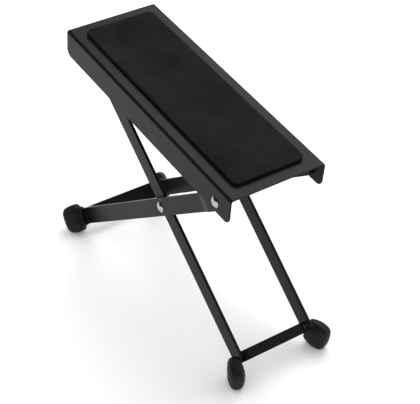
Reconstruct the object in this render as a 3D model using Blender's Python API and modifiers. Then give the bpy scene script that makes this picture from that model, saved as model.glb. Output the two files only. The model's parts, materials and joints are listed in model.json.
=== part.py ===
"""Folding guitar footrest.

A pressed steel platform with a rubber mat stands on a scissor of flat steel bars. The short
arms turn on rivets in the platform's low end. The long legs cross them on a second pair of
rivets, and carry a rod that runs under two notched racks near the platform's high end.

Units are metres and +Z is up. +X points to the platform's low end, and -Y is the near side.
Each of the three moving groups hangs on an empty whose origin is on its turning axis.
"""

import math

import bmesh
import bpy
from mathutils import Matrix, Vector

# Running and seating clearance between neighbouring pieces
CLEARANCE = 0.0003

# Scissor, measured between the axes of its rivets and rod
ARM_FRONT = 0.1280
LEG_UPPER = 0.1573
OPENING_ANGLE = math.radians(74.85)

# Platform, a channel with its open side down
PLATE_LENGTH = 0.300
PLATE_WIDTH = 0.107
PLATE_DEPTH = 0.0293
PLATE_SHEET = 0.0015
PLATE_BEND_RADIUS = 0.0036
PLATE_CORNER_RADIUS = 0.0075
PIVOT_INSET = 0.0231
PIVOT_DEPTH = 0.0190

# Rubber mat
MAT_THICKNESS = 0.0034
MAT_END_MARGIN = 0.0135
MAT_SIDE_MARGIN = 0.0135
MAT_CORNER_RADIUS = 0.0065
MAT_EDGE_RADIUS = 0.0011

# Flat bars of the legs and the arms
LEG_BAR_WIDTH = 0.0190
LEG_BAR_THICKNESS = 0.0032
ARM_BAR_WIDTH = 0.0190
ARM_BAR_THICKNESS = 0.0030
BAR_BEND_RADIUS = 0.0060
BAR_EDGE_RADIUS = 0.0004
ARM_JOGGLE = 0.0020
ARM_JOGGLE_START = 0.090
ARM_JOGGLE_LENGTH = 0.016

# Bent ends of the bars, which the rubber boots cover. A foot runs to the middle of its boot
LEG_SPLAY = math.radians(29)
ARM_SPLAY = math.radians(40)
LEG_STRAIGHT = 0.1650
ARM_STRAIGHT = 0.1972
LEG_FOOT = 0.0160
ARM_FOOT = 0.0156
FOOT_BEYOND_MIDDLE = 0.0015

# Rubber boots. The front ones stand squarer to the floor than the bars in them
BOOT_LENGTH = 0.0260
BOOT_WIDTH = 0.0330
BOOT_THICKNESS = 0.0175
BOOT_HEIGHT_SHARE = 0.475
FRONT_BOOT_TURN = math.radians(20.5)
FRONT_BOOT_DIP = math.radians(12)
FRONT_BOOT_DROP = 0.0025
REAR_BOOT_RISE = 0.0006

# Crossbars
FRONT_BAR_WIDTH = 0.0110
FRONT_BAR_THICKNESS = 0.0030
FRONT_BAR_BEND_RADIUS = 0.0080
FRONT_BAR_TAB = 0.0008
FRONT_BAR_BEYOND_STRAIGHT = 0.0046
REAR_BAR_WIDTH = 0.0190
REAR_BAR_THICKNESS = 0.0025
REAR_BAR_BEND_RADIUS = 0.0045
REAR_BAR_TAB = 0.0120
REAR_BAR_BEYOND_STRAIGHT = 0.0041

# Rivets and washers
RIVET_RADIUS = 0.0030
RIVET_HEAD_RADIUS = 0.0062
RIVET_HEAD_HEIGHT = 0.0024
RIVET_TAIL_RADIUS = 0.0048
RIVET_TAIL_HEIGHT = 0.0020
RIVET_TAIL_SHARE = 0.45
PIVOT_WASHER_THICKNESS = 0.0008
CROSSING_WASHER_THICKNESS = 0.0010
WASHER_RADIUS = 0.0075

# Rod between the tops of the long legs
ROD_RADIUS = 0.0035
ROD_NECK_RADIUS = 0.0026
ROD_HEAD_RADIUS = 0.0044
ROD_HEAD_HEIGHT = 0.0008

# Notched racks under the plate
RACK_SHEET = 0.0020
RACK_LEG_GAP = 0.0055
RACK_TAB_WIDTH = 0.0120
RACK_NOTCHES = 5
RACK_NOTCH_PITCH = 0.0095
RACK_NOTCH_DEPTH = 0.0045
RACK_END = 0.0040
RACK_CORNER_RADIUS = 0.0025
RACK_BEND_RADIUS = 0.0025

# Notch shape as shares of the pitch, from its high-end side
RACK_LEAN_SHARE = 0.10
RACK_FLOOR_SHARE = 0.42
RACK_MOUTH_SHARE = 0.86

# Detail of the round shapes
ARC_STEP = math.radians(15)
TURN_STEPS = 28
BOOT_RING_POINTS = 28

# Boot sections from the mouth to the tip: place along the length, width and thickness
FRONT_BOOT_SHARES = (
    (0.00, 0.72, 0.66),
    (0.03, 0.80, 0.71),
    (0.10, 0.89, 0.75),
    (0.24, 0.97, 0.81),
    (0.40, 0.99, 0.93),
    (0.55, 0.98, 0.99),
    (0.68, 0.96, 0.97),
    (0.80, 0.92, 0.90),
    (0.92, 0.78, 0.74),
    (0.98, 0.56, 0.52),
    (1.00, 0.30, 0.28),
)
REAR_BOOT_SHARES = (
    (0.00, 0.66, 0.66),
    (0.03, 0.72, 0.73),
    (0.12, 0.73, 0.74),
    (0.15, 0.68, 0.69),
    (0.19, 0.93, 0.88),
    (0.24, 0.99, 0.94),
    (0.40, 1.00, 1.00),
    (0.62, 0.98, 0.98),
    (0.80, 0.92, 0.90),
    (0.92, 0.78, 0.74),
    (0.98, 0.56, 0.52),
    (1.00, 0.30, 0.28),
)
BOOT_SQUARENESS = 3.0

# Planes that an outline can stand in: XY, XZ and YZ
FLAT = Matrix.Identity(4)
UPRIGHT = Matrix.Rotation(math.pi / 2, 4, "X")
CROSSWISE = Matrix(((0, 0, 1, 0), (1, 0, 0, 0), (0, 1, 0, 0), (0, 0, 0, 1)))

NEAR = -1
FAR = 1
SIDE_NAMES = {NEAR: "near", FAR: "far"}

# Distances from the middle plane, worked from the outside in
flange_inner = PLATE_WIDTH / 2 - PLATE_SHEET
pivot_gap = PIVOT_WASHER_THICKNESS + 2 * CLEARANCE
crossing_gap = CROSSING_WASHER_THICKNESS + 2 * CLEARANCE
arm_outer_at_pivot = flange_inner - pivot_gap
arm_outer = arm_outer_at_pivot - ARM_JOGGLE
arm_middle = arm_outer - ARM_BAR_THICKNESS / 2
arm_inner = arm_outer - ARM_BAR_THICKNESS
leg_outer = arm_inner - crossing_gap
leg_middle = leg_outer - LEG_BAR_THICKNESS / 2
leg_inner = leg_outer - LEG_BAR_THICKNESS
rack_outer = leg_inner - RACK_LEG_GAP
rivet_hole_radius = RIVET_RADIUS + CLEARANCE
rod_hole_radius = ROD_NECK_RADIUS + CLEARANCE

# Places along the bars, from the crossing
front_bar_place = LEG_STRAIGHT + FRONT_BAR_BEYOND_STRAIGHT
rear_bar_place = ARM_STRAIGHT + REAR_BAR_BEYOND_STRAIGHT
leg_lower = LEG_STRAIGHT + BAR_BEND_RADIUS * math.sin(LEG_SPLAY) + LEG_FOOT * math.cos(LEG_SPLAY)
arm_rear = ARM_STRAIGHT + BAR_BEND_RADIUS * math.sin(ARM_SPLAY) + ARM_FOOT * math.cos(ARM_SPLAY)

# Pose of the scissor, with the centres of all four boots at one height
opening = Vector((math.cos(OPENING_ANGLE), math.sin(OPENING_ANGLE)))
arm_angle = math.atan2(
    leg_lower * opening.y + FRONT_BOOT_DROP * opening.x + REAR_BOOT_RISE,
    arm_rear + leg_lower * opening.x - FRONT_BOOT_DROP * opening.y,
)
leg_angle = OPENING_ANGLE - arm_angle
boot_height = BOOT_HEIGHT_SHARE * BOOT_WIDTH
rear_drop = arm_rear * math.sin(arm_angle) - REAR_BOOT_RISE * math.cos(arm_angle)
crossing = Vector((0, 0, boot_height + rear_drop))
pivot = crossing + ARM_FRONT * Vector((math.cos(arm_angle), 0, math.sin(arm_angle)))
rod = crossing + LEG_UPPER * Vector((-math.cos(leg_angle), 0, math.sin(leg_angle)))
rod_distance = (rod - pivot).length
platform_angle = math.atan2(rod.z - pivot.z, pivot.x - rod.x)

# Heights in the platform's own frame, whose origin is on the pivot axis
plate_top = PIVOT_DEPTH
plate_underside = PIVOT_DEPTH - PLATE_SHEET
plate_low_end = PIVOT_INSET
plate_high_end = PIVOT_INSET - PLATE_LENGTH


def clear_scene():
    """Remove whatever the file holds."""
    for thing in list(bpy.data.objects):
        bpy.data.objects.remove(thing, do_unlink=True)


def make_collection(name):
    group = bpy.data.collections.new(name)
    bpy.context.scene.collection.children.link(group)
    return group


def make_material(name, colour, roughness, metallic):
    material = bpy.data.materials.new(name)
    material.use_nodes = True
    shader = material.node_tree.nodes["Principled BSDF"]
    shader.inputs["Base Color"].default_value = (*colour, 1)
    shader.inputs["Roughness"].default_value = roughness
    shader.inputs["Metallic"].default_value = metallic
    return material


def make_empty(name, place, tilt, parent):
    """An empty on a turning axis, tilted about Y so that its X runs along the bars."""
    empty = bpy.data.objects.new(name, None)
    parts.objects.link(empty)
    empty.location = place
    empty.rotation_euler = (0, tilt, 0)
    empty.parent = parent
    return empty


def add_piece(name, mesh, parent, material):
    piece = bpy.data.objects.new(name, mesh)
    parts.objects.link(piece)
    piece.parent = parent
    mesh.materials.clear()
    mesh.materials.append(material)
    return piece


def arc(centre, radius, start, end):
    """Points along an arc, both ends included."""
    steps = max(2, math.ceil(abs(end - start) / ARC_STEP))
    angles = [start + (end - start) * i / steps for i in range(steps + 1)]
    return [(centre[0] + radius * math.cos(a), centre[1] + radius * math.sin(a)) for a in angles]


def rounded_rectangle(low, high, radius):
    """Outline of a rectangle with equal round corners."""
    quarter = math.pi / 2
    centres = (
        (high[0] - radius, high[1] - radius),
        (low[0] + radius, high[1] - radius),
        (low[0] + radius, low[1] + radius),
        (high[0] - radius, low[1] + radius),
    )
    outline = []
    for turn, centre in enumerate(centres):
        outline += arc(centre, radius, turn * quarter, (turn + 1) * quarter)
    return outline


def strip_outline(path, thickness):
    """Outline of a strip seen on its edge, from the points and directions along its middle."""
    half = thickness / 2
    left = [(x - half * math.sin(a), y + half * math.cos(a)) for x, y, a in path]
    right = [(x + half * math.sin(a), y - half * math.cos(a)) for x, y, a in path]
    return left + right[::-1]


def bend(path, radius, turn):
    """Carry a path on round a bend. A positive turn is to the left."""
    x, y, heading = path[-1]
    steps = max(1, math.ceil(abs(turn) / ARC_STEP))
    side = math.copysign(1, turn)
    centre = (x - side * radius * math.sin(heading), y + side * radius * math.cos(heading))
    for i in range(1, steps + 1):
        a = heading + turn * i / steps
        path.append((centre[0] + side * radius * math.sin(a), centre[1] - side * radius * math.cos(a), a))


def run(path, length):
    """Carry a path straight on."""
    x, y, heading = path[-1]
    path.append((x + length * math.cos(heading), y + length * math.sin(heading), heading))


def tidy(mesh):
    """Weld the mesh and turn its faces outwards."""
    work = bmesh.new()
    work.from_mesh(mesh)
    bmesh.ops.remove_doubles(work, verts=work.verts, dist=0.02 * CLEARANCE)
    bmesh.ops.recalc_face_normals(work, faces=work.faces)
    work.to_mesh(mesh)
    work.free()


def solid_from_outline(name, outline, thickness, stand=FLAT):
    """A solid of even thickness, centred on the plane that its outline stands in."""
    curve = bpy.data.curves.new(name, "CURVE")
    curve.dimensions = "2D"
    curve.fill_mode = "BOTH"
    curve.extrude = thickness / 2
    spline = curve.splines.new("POLY")
    spline.points.add(len(outline) - 1)
    for point, (x, y) in zip(spline.points, outline):
        point.co = (x, y, 0, 1)
    spline.use_cyclic_u = True
    guide = bpy.data.objects.new(name, curve)
    bpy.context.scene.collection.objects.link(guide)
    graph = bpy.context.evaluated_depsgraph_get()
    mesh = bpy.data.meshes.new_from_object(guide.evaluated_get(graph))
    bpy.data.objects.remove(guide)
    bpy.data.curves.remove(curve)
    mesh.transform(stand)
    mesh.name = name
    tidy(mesh)
    return mesh


def add_boolean(piece, cutter, operation):
    modifier = piece.modifiers.new(operation.title() + " " + cutter.name, "BOOLEAN")
    modifier.operation = operation
    modifier.solver = "EXACT"
    modifier.object = cutter


def add_bevel(piece, width, segments=1):
    modifier = piece.modifiers.new("Edge radius", "BEVEL")
    modifier.width = width
    modifier.segments = segments
    modifier.limit_method = "ANGLE"
    modifier.angle_limit = math.radians(50)
    modifier.use_clamp_overlap = True


def as_cutter(piece):
    """Move a piece from the parts to the cutters."""
    for group in list(piece.users_collection):
        group.objects.unlink(piece)
    cutters.objects.link(piece)
    piece.hide_render = True
    piece.display_type = "WIRE"
    return piece


def cross_drill(name, place, radius, length, parent):
    """A cutter for a hole along Y."""
    bpy.ops.mesh.primitive_cylinder_add(vertices=TURN_STEPS, radius=radius, depth=length)
    drill = bpy.context.active_object
    drill.name = name
    drill.data.transform(Matrix.Rotation(math.pi / 2, 4, "X"))
    drill.parent = parent
    drill.location = place
    return as_cutter(drill)


def turned_piece(name, profile, closed, parent, material, place, side):
    """A piece turned about Y. The profile is radius and height, and heights grow outwards."""
    mesh = bpy.data.meshes.new(name)
    last = len(profile) if closed else len(profile) - 1
    edges = [(i, (i + 1) % len(profile)) for i in range(last)]
    mesh.from_pydata([(radius, 0, height) for radius, height in profile], edges, [])
    piece = add_piece(name, mesh, parent, material)
    screw = piece.modifiers.new("Turn", "SCREW")
    screw.steps = TURN_STEPS
    screw.render_steps = TURN_STEPS
    screw.use_merge_vertices = True
    screw.merge_threshold = 0.02 * CLEARANCE
    piece.rotation_euler = (-side * math.pi / 2, 0, 0)
    piece.location = place
    return piece


def make_platform_plate():
    """The pressed channel: one open sheet, bent, rounded at its lower corners and thickened."""
    half = PLATE_WIDTH / 2
    low = plate_top - PLATE_DEPTH
    bpy.ops.mesh.primitive_grid_add(x_subdivisions=1, y_subdivisions=1, size=1)
    plate = bpy.context.active_object
    plate.name = "platform_plate"
    work = bmesh.new()
    work.from_mesh(plate.data)
    for vertex in work.verts:
        x_share = 0.5 + vertex.co.x
        vertex.co.x = plate_high_end + PLATE_LENGTH * x_share
        vertex.co.y = math.copysign(half, vertex.co.y)
        vertex.co.z = plate_top
    sides = [e for e in work.edges if abs(e.verts[0].co.y - e.verts[1].co.y) < CLEARANCE]
    pulled = bmesh.ops.extrude_edge_only(work, edges=sides)["geom"]
    for item in pulled:
        if isinstance(item, bmesh.types.BMVert):
            item.co.z = low
    work.edges.ensure_lookup_table()
    bends = [e for e in work.edges if len(e.link_faces) == 2 and min(v.co.z for v in e.verts) > low]
    bmesh.ops.bevel(work, geom=bends, offset=PLATE_BEND_RADIUS, segments=5, profile=0.5, affect="EDGES")
    corners = [v for v in work.verts if v.co.z < low + CLEARANCE]
    bmesh.ops.bevel(work, geom=corners, offset=PLATE_CORNER_RADIUS, segments=6, profile=0.5, affect="VERTICES")
    bmesh.ops.recalc_face_normals(work, faces=work.faces)
    top = max(work.faces, key=lambda face: face.calc_area())
    if top.normal.z < 0:
        bmesh.ops.reverse_faces(work, faces=work.faces)
    work.to_mesh(plate.data)
    work.free()
    for group in list(plate.users_collection):
        group.objects.unlink(plate)
    parts.objects.link(plate)
    plate.parent = platform_axis
    plate.data.materials.append(paint)
    sheet = plate.modifiers.new("Sheet", "SOLIDIFY")
    sheet.thickness = PLATE_SHEET
    sheet.offset = -1
    sheet.use_even_offset = True
    drill = cross_drill("pivot_drill", (0, 0, 0), rivet_hole_radius, 2 * PLATE_WIDTH, platform_axis)
    add_boolean(plate, drill, "DIFFERENCE")
    return plate


def make_mat():
    """The rubber mat on the plate, inset from all four edges."""
    low = (plate_high_end + MAT_END_MARGIN, MAT_SIDE_MARGIN - PLATE_WIDTH / 2)
    high = (plate_low_end - MAT_END_MARGIN, PLATE_WIDTH / 2 - MAT_SIDE_MARGIN)
    outline = rounded_rectangle(low, high, MAT_CORNER_RADIUS)
    mesh = solid_from_outline("rubber_mat", outline, MAT_THICKNESS)
    mat = add_piece("rubber_mat", mesh, platform_axis, mat_rubber)
    mat.location.z = plate_top + CLEARANCE + MAT_THICKNESS / 2
    add_bevel(mat, MAT_EDGE_RADIUS, segments=3)


def rack_outline():
    """Side view of a rack, with its notches open downwards and leaning to hold the rod."""
    tip = ROD_RADIUS + CLEARANCE
    root = tip + RACK_NOTCH_DEPTH
    first = -rod_distance + RACK_NOTCH_PITCH / 2
    last = first - RACK_NOTCHES * RACK_NOTCH_PITCH
    outline = [(first + RACK_END, 2 * plate_top), (last - RACK_END, 2 * plate_top)]
    outline += arc((last - RACK_END + RACK_CORNER_RADIUS, tip + RACK_CORNER_RADIUS),
                   RACK_CORNER_RADIUS, math.pi, 3 * math.pi / 2)
    for i in range(RACK_NOTCHES):
        start = last + i * RACK_NOTCH_PITCH
        outline.append((start, tip))
        outline.append((start + RACK_LEAN_SHARE * RACK_NOTCH_PITCH, root))
        outline.append((start + RACK_FLOOR_SHARE * RACK_NOTCH_PITCH, root))
        outline.append((start + RACK_MOUTH_SHARE * RACK_NOTCH_PITCH, tip))
    outline += arc((first + RACK_END - RACK_CORNER_RADIUS, tip + RACK_CORNER_RADIUS),
                   RACK_CORNER_RADIUS, -math.pi / 2, 0)
    return outline


def make_rack(side):
    """A bent bracket welded under the plate, with notches along its lower edge."""
    name = "rack_" + SIDE_NAMES[side]
    outline = rack_outline()
    ends = [x for x, z in outline]
    height = plate_underside - CLEARANCE - RACK_SHEET / 2
    path = [(rack_outer - RACK_TAB_WIDTH, height, 0)]
    run(path, RACK_TAB_WIDTH - RACK_SHEET / 2 - RACK_BEND_RADIUS)
    bend(path, RACK_BEND_RADIUS, -math.pi / 2)
    run(path, height - RACK_BEND_RADIUS)
    section = [(side * y, z) for y, z in strip_outline(path, RACK_SHEET)]
    mesh = solid_from_outline(name, section, 2 * (max(ends) - min(ends)), CROSSWISE)
    rack = add_piece(name, mesh, platform_axis, paint)
    mesh.transform(Matrix.Translation(((max(ends) + min(ends)) / 2, 0, 0)))
    notch_mesh = solid_from_outline(name + "_notches", outline, 2 * PLATE_WIDTH, UPRIGHT)
    notches = as_cutter(add_piece(name + "_notches", notch_mesh, platform_axis, paint))
    add_boolean(rack, notches, "INTERSECT")


def trim_to_face(bar, name, low, high, width, round_low, parent):
    """Round one end of a bar, by keeping only what lies inside its face outline."""
    half = width / 2
    if round_low:
        outline = arc((low + half, 0), half, math.pi / 2, 3 * math.pi / 2)
        outline += [(high, -half), (high, half)]
    else:
        outline = arc((high - half, 0), half, -math.pi / 2, math.pi / 2)
        outline += [(low, half), (low, -half)]
    mesh = solid_from_outline(name + "_face", outline, 2 * PLATE_WIDTH, UPRIGHT)
    face = add_piece(name + "_face", mesh, parent, paint)
    as_cutter(face)
    add_boolean(bar, face, "INTERSECT")


def foot_path(start, middle, straight, splay, foot):
    """The path of a bar that runs straight, then bends outwards to its foot."""
    path = [(start, middle, 0)]
    run(path, straight - start)
    bend(path, BAR_BEND_RADIUS, splay)
    run(path, foot)
    return path


def make_leg(side):
    """A long leg: a flat bar with a round top end and its foot bent outwards."""
    name = "leg_" + SIDE_NAMES[side]
    half = LEG_BAR_WIDTH / 2
    start = -LEG_UPPER - half
    path = foot_path(start, leg_middle, LEG_STRAIGHT, LEG_SPLAY, LEG_FOOT + FOOT_BEYOND_MIDDLE)
    outline = [(x, side * y) for x, y in strip_outline(path, LEG_BAR_THICKNESS)]
    mesh = solid_from_outline(name, outline, LEG_BAR_WIDTH + BAR_EDGE_RADIUS)
    leg = add_piece(name, mesh, leg_axis, paint)
    trim_to_face(leg, name, start, LEG_STRAIGHT + BOOT_LENGTH * 2, LEG_BAR_WIDTH, True, leg_axis)
    add_bevel(leg, BAR_EDGE_RADIUS)
    for label, place, radius in (
        ("_crossing_drill", (0, 0, 0), rivet_hole_radius),
        ("_rod_drill", (-LEG_UPPER, 0, 0), rod_hole_radius),
    ):
        drill = cross_drill(name + label, place, radius, 2 * PLATE_WIDTH, leg_axis)
        add_boolean(leg, drill, "DIFFERENCE")


def make_arm(side):
    """A short arm: a flat bar, joggled outwards at the platform and bent outwards at the foot."""
    name = "arm_" + SIDE_NAMES[side]
    half = ARM_BAR_WIDTH / 2
    front = ARM_FRONT + half
    slope = math.atan2(ARM_JOGGLE, ARM_JOGGLE_LENGTH)
    path = [(-front, arm_middle + ARM_JOGGLE, 0)]
    path.append((-ARM_JOGGLE_START - ARM_JOGGLE_LENGTH, arm_middle + ARM_JOGGLE, -slope / 2))
    path.append((-ARM_JOGGLE_START, arm_middle, -slope / 2))
    path.append((0, arm_middle, 0))
    run(path, ARM_STRAIGHT)
    bend(path, BAR_BEND_RADIUS, ARM_SPLAY)
    run(path, ARM_FOOT + FOOT_BEYOND_MIDDLE)
    outline = [(-x, side * y) for x, y in strip_outline(path, ARM_BAR_THICKNESS)]
    mesh = solid_from_outline(name, outline, ARM_BAR_WIDTH + BAR_EDGE_RADIUS)
    arm = add_piece(name, mesh, arm_axis, paint)
    trim_to_face(arm, name, -ARM_STRAIGHT - BOOT_LENGTH * 2, front, ARM_BAR_WIDTH, False, arm_axis)
    add_bevel(arm, BAR_EDGE_RADIUS)
    for label, place in (("_crossing_drill", (0, 0, 0)), ("_pivot_drill", (ARM_FRONT, 0, 0))):
        drill = cross_drill(name + label, place, rivet_hole_radius, 2 * PLATE_WIDTH, arm_axis)
        add_boolean(arm, drill, "DIFFERENCE")


def make_rivet(name, outer, grip, parent, material, side):
    """A domed rivet. Its head sits on the face at the distance outer, and its tail closes the grip."""
    head_rise = RIVET_HEAD_HEIGHT
    dome_radius = (RIVET_HEAD_RADIUS ** 2 + head_rise ** 2) / (2 * head_rise)
    reach = math.asin(min(1, RIVET_HEAD_RADIUS / dome_radius))
    steps = 5
    profile = []
    for i in range(steps + 1):
        a = reach * i / steps
        height = head_rise - dome_radius * (1 - math.cos(a))
        profile.append((dome_radius * math.sin(a), CLEARANCE + height))
    tail = -grip - CLEARANCE
    profile += [
        (RIVET_RADIUS, CLEARANCE),
        (RIVET_RADIUS, tail),
        (RIVET_TAIL_RADIUS, tail),
        (RIVET_TAIL_RADIUS, tail - RIVET_TAIL_HEIGHT * RIVET_TAIL_SHARE),
        (RIVET_RADIUS, tail - RIVET_TAIL_HEIGHT),
        (0, tail - RIVET_TAIL_HEIGHT),
    ]
    turned_piece(name, profile, False, parent, material, (0, side * outer, 0), side)


def make_washer(name, outer, thickness, parent, side):
    """A flat washer whose outer face is CLEARANCE inside the distance outer."""
    high = -CLEARANCE
    low = high - thickness
    profile = [
        (WASHER_RADIUS, high),
        (WASHER_RADIUS, low),
        (rivet_hole_radius, low),
        (rivet_hole_radius, high),
    ]
    turned_piece(name, profile, True, parent, washer_plastic, (0, side * outer, 0), side)


def make_rod():
    """The rod between the legs' tops, shouldered against them and upset outside."""
    shoulder = leg_inner - CLEARANCE
    neck = leg_outer + CLEARANCE
    end = neck + ROD_HEAD_HEIGHT
    half = [(0, end), (ROD_HEAD_RADIUS, end), (ROD_HEAD_RADIUS, neck), (ROD_NECK_RADIUS, neck)]
    half += [(ROD_NECK_RADIUS, shoulder), (ROD_RADIUS, shoulder)]
    profile = half + [(radius, -height) for radius, height in reversed(half)]
    turned_piece("latch_rod", profile, False, leg_axis, zinc, (-LEG_UPPER, 0, 0), FAR)


def crossbar_outline(reach, radius, tab, thickness):
    """A strip across the frame, with a tab bent back at each end. X is back and Y is across."""
    inner = reach - thickness / 2
    path = [(tab + radius, -inner, math.pi)]
    run(path, tab)
    bend(path, radius, -math.pi / 2)
    run(path, 2 * (inner - radius))
    bend(path, radius, -math.pi / 2)
    run(path, tab)
    return strip_outline(path, thickness)


def make_front_crossbar():
    """The front strip lies in the plane of the legs, with its tabs turned back inside them."""
    reach = leg_inner - CLEARANCE
    outline = crossbar_outline(reach, FRONT_BAR_BEND_RADIUS, FRONT_BAR_TAB, FRONT_BAR_THICKNESS)
    mesh = solid_from_outline("front_crossbar", outline, FRONT_BAR_WIDTH)
    mesh.transform(Matrix.Rotation(math.pi / 2, 4, "Y"))
    bar = add_piece("front_crossbar", mesh, leg_axis, paint)
    bar.location = (front_bar_place, 0, FRONT_BAR_THICKNESS)
    add_bevel(bar, BAR_EDGE_RADIUS)


def make_rear_crossbar():
    """The rear plate stands across the arms, with its tabs turned forward inside them."""
    reach = arm_inner - CLEARANCE
    outline = crossbar_outline(reach, REAR_BAR_BEND_RADIUS, REAR_BAR_TAB, REAR_BAR_THICKNESS)
    mesh = solid_from_outline("rear_crossbar", outline, REAR_BAR_WIDTH)
    bar = add_piece("rear_crossbar", mesh, arm_axis, paint)
    bar.location.x = -rear_bar_place
    add_bevel(bar, BAR_EDGE_RADIUS)


def boot_mesh(name, shares):
    """A boot lofted from its mouth to its tip along +X, wide along Z, with its middle at the origin."""
    work = bmesh.new()
    rings = []
    for place, width, thickness in shares:
        ring = []
        for i in range(BOOT_RING_POINTS):
            a = 2 * math.pi * i / BOOT_RING_POINTS
            reach_y = math.copysign(abs(math.cos(a)) ** (2 / BOOT_SQUARENESS), math.cos(a))
            reach_z = math.copysign(abs(math.sin(a)) ** (2 / BOOT_SQUARENESS), math.sin(a))
            y = BOOT_THICKNESS / 2 * thickness * reach_y
            z = BOOT_WIDTH / 2 * width * reach_z
            ring.append(work.verts.new((BOOT_LENGTH * (place - 0.5), y, z)))
        rings.append(ring)
    for ring, following in zip(rings, rings[1:]):
        for i in range(BOOT_RING_POINTS):
            j = (i + 1) % BOOT_RING_POINTS
            work.faces.new((ring[i], ring[j], following[j], following[i]))
    work.faces.new(rings[0])
    work.faces.new(rings[-1])
    bmesh.ops.recalc_face_normals(work, faces=work.faces)
    mesh = bpy.data.meshes.new(name)
    work.to_mesh(mesh)
    work.free()
    return mesh


def make_boot(name, shares, parent, turn, foot, bar_width):
    """A boot with a pocket for its bar's foot, and a flat sole where it meets the floor."""
    boot = add_piece(name, boot_mesh(name, shares), parent, boot_rubber)
    boot.matrix_basis = turn
    pocket_mesh = solid_from_outline(name + "_pocket", foot, bar_width + 2 * CLEARANCE)
    pocket = as_cutter(add_piece(name + "_pocket", pocket_mesh, parent, boot_rubber))
    add_boolean(boot, pocket, "DIFFERENCE")
    add_boolean(boot, floor_cutter, "DIFFERENCE")


def make_boots():
    """Four boots on the bent feet of the legs and the arms."""
    reach = FOOT_BEYOND_MIDDLE + CLEARANCE
    for side in (NEAR, FAR):
        path = foot_path(LEG_STRAIGHT / 2, leg_middle, LEG_STRAIGHT, LEG_SPLAY, LEG_FOOT)
        middle = Vector((path[-1][0], side * path[-1][1], -FRONT_BOOT_DROP))
        run(path, reach)
        foot = [(x, side * y) for x, y in strip_outline(path, LEG_BAR_THICKNESS + 2 * CLEARANCE)]
        turn = Matrix.Translation(middle) @ Matrix.Rotation(-leg_angle, 4, "Y")
        turn = turn @ Matrix.Rotation(side * FRONT_BOOT_TURN, 4, "Z") @ Matrix.Rotation(FRONT_BOOT_DIP, 4, "Y")
        make_boot("front_boot_" + SIDE_NAMES[side], FRONT_BOOT_SHARES, leg_axis, turn, foot, LEG_BAR_WIDTH)
        path = foot_path(ARM_STRAIGHT / 2, arm_middle, ARM_STRAIGHT, ARM_SPLAY, ARM_FOOT)
        middle = Vector((-path[-1][0], side * path[-1][1], REAR_BOOT_RISE))
        run(path, reach)
        foot = [(-x, side * y) for x, y in strip_outline(path, ARM_BAR_THICKNESS + 2 * CLEARANCE)]
        turn = Matrix.Translation(middle) @ Matrix.Rotation(math.pi - side * ARM_SPLAY, 4, "Z")
        make_boot("rear_boot_" + SIDE_NAMES[side], REAR_BOOT_SHARES, arm_axis, turn, foot, ARM_BAR_WIDTH)


def make_floor_cutter():
    """A slab under the floor, which gives the boots their flat soles."""
    size = 4 * PLATE_LENGTH
    bpy.ops.mesh.primitive_cube_add(size=size)
    slab = bpy.context.active_object
    slab.name = "floor_slab"
    slab.location.z = -size / 2
    slab.parent = footrest
    return as_cutter(slab)


def make_fasteners():
    """Rivets and washers at the crossing and at the platform's pivot."""
    for side in (NEAR, FAR):
        label = SIDE_NAMES[side]
        grip = arm_outer - leg_inner
        make_rivet("crossing_rivet_" + label, arm_outer, grip, arm_axis, zinc, side)
        make_washer("crossing_washer_" + label, arm_inner, CROSSING_WASHER_THICKNESS, arm_axis, side)
        grip = PLATE_WIDTH / 2 - (arm_outer_at_pivot - ARM_BAR_THICKNESS)
        make_rivet("pivot_rivet_" + label, PLATE_WIDTH / 2, grip, platform_axis, zinc, side)
        make_washer("pivot_washer_" + label, flange_inner, PIVOT_WASHER_THICKNESS, platform_axis, side)


def world_corners(piece, graph):
    shape = piece.evaluated_get(graph)
    return [shape.matrix_world @ vertex.co for vertex in shape.data.vertices]


def centre_over_origin():
    """Slide the footrest along X until its box is centred over the origin."""
    graph = bpy.context.evaluated_depsgraph_get()
    places = []
    for piece in parts.objects:
        if piece.type == "MESH":
            places += [corner.x for corner in world_corners(piece, graph)]
    footrest.location.x = -(min(places) + max(places)) / 2
    bpy.context.view_layer.update()


def smooth_round_pieces():
    for piece in parts.objects:
        if piece.type == "MESH":
            piece.data.shade_smooth()
            piece.data.set_sharp_from_angle(angle=math.radians(35))


clear_scene()
parts = make_collection("guitar_footrest")
cutters = make_collection("footrest_cutters")

paint = make_material("black_satin_paint", (0.022, 0.022, 0.022), 0.42, 0.0)
mat_rubber = make_material("mat_rubber", (0.012, 0.012, 0.012), 0.75, 0.0)
boot_rubber = make_material("boot_rubber", (0.012, 0.012, 0.012), 0.6, 0.0)
zinc = make_material("bright_zinc", (0.62, 0.62, 0.60), 0.25, 1.0)
washer_plastic = make_material("washer_plastic", (0.03, 0.03, 0.03), 0.5, 0.0)

footrest = make_empty("footrest", (0, 0, 0), 0, None)
arm_axis = make_empty("arm_axis", crossing, -arm_angle, footrest)
leg_axis = make_empty("leg_axis", crossing, leg_angle, footrest)
platform_axis = make_empty("platform_axis", pivot, platform_angle, footrest)
floor_cutter = make_floor_cutter()

make_platform_plate()
make_mat()
for rack_side in (NEAR, FAR):
    make_rack(rack_side)
for bar_side in (NEAR, FAR):
    make_leg(bar_side)
    make_arm(bar_side)
make_rod()
make_front_crossbar()
make_rear_crossbar()
make_boots()
make_fasteners()
bpy.context.view_layer.update()
centre_over_origin()
smooth_round_pieces()
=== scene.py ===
"""Folding guitar footrest: the finished pieces, their finishes and the studio.

A steel platform with a rubber mat stands on a scissor of flat bars with rubber boots. Every piece
is made in the frame of the body it moves with, then placed where that body stands. X runs along
the bars or the platform, Y across the footrest, and Z away from the floor.
"""

import json
import math

import bmesh
import bpy
from bpy.props import FloatProperty, FloatVectorProperty, PointerProperty
from mathutils import Matrix, Vector


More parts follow.
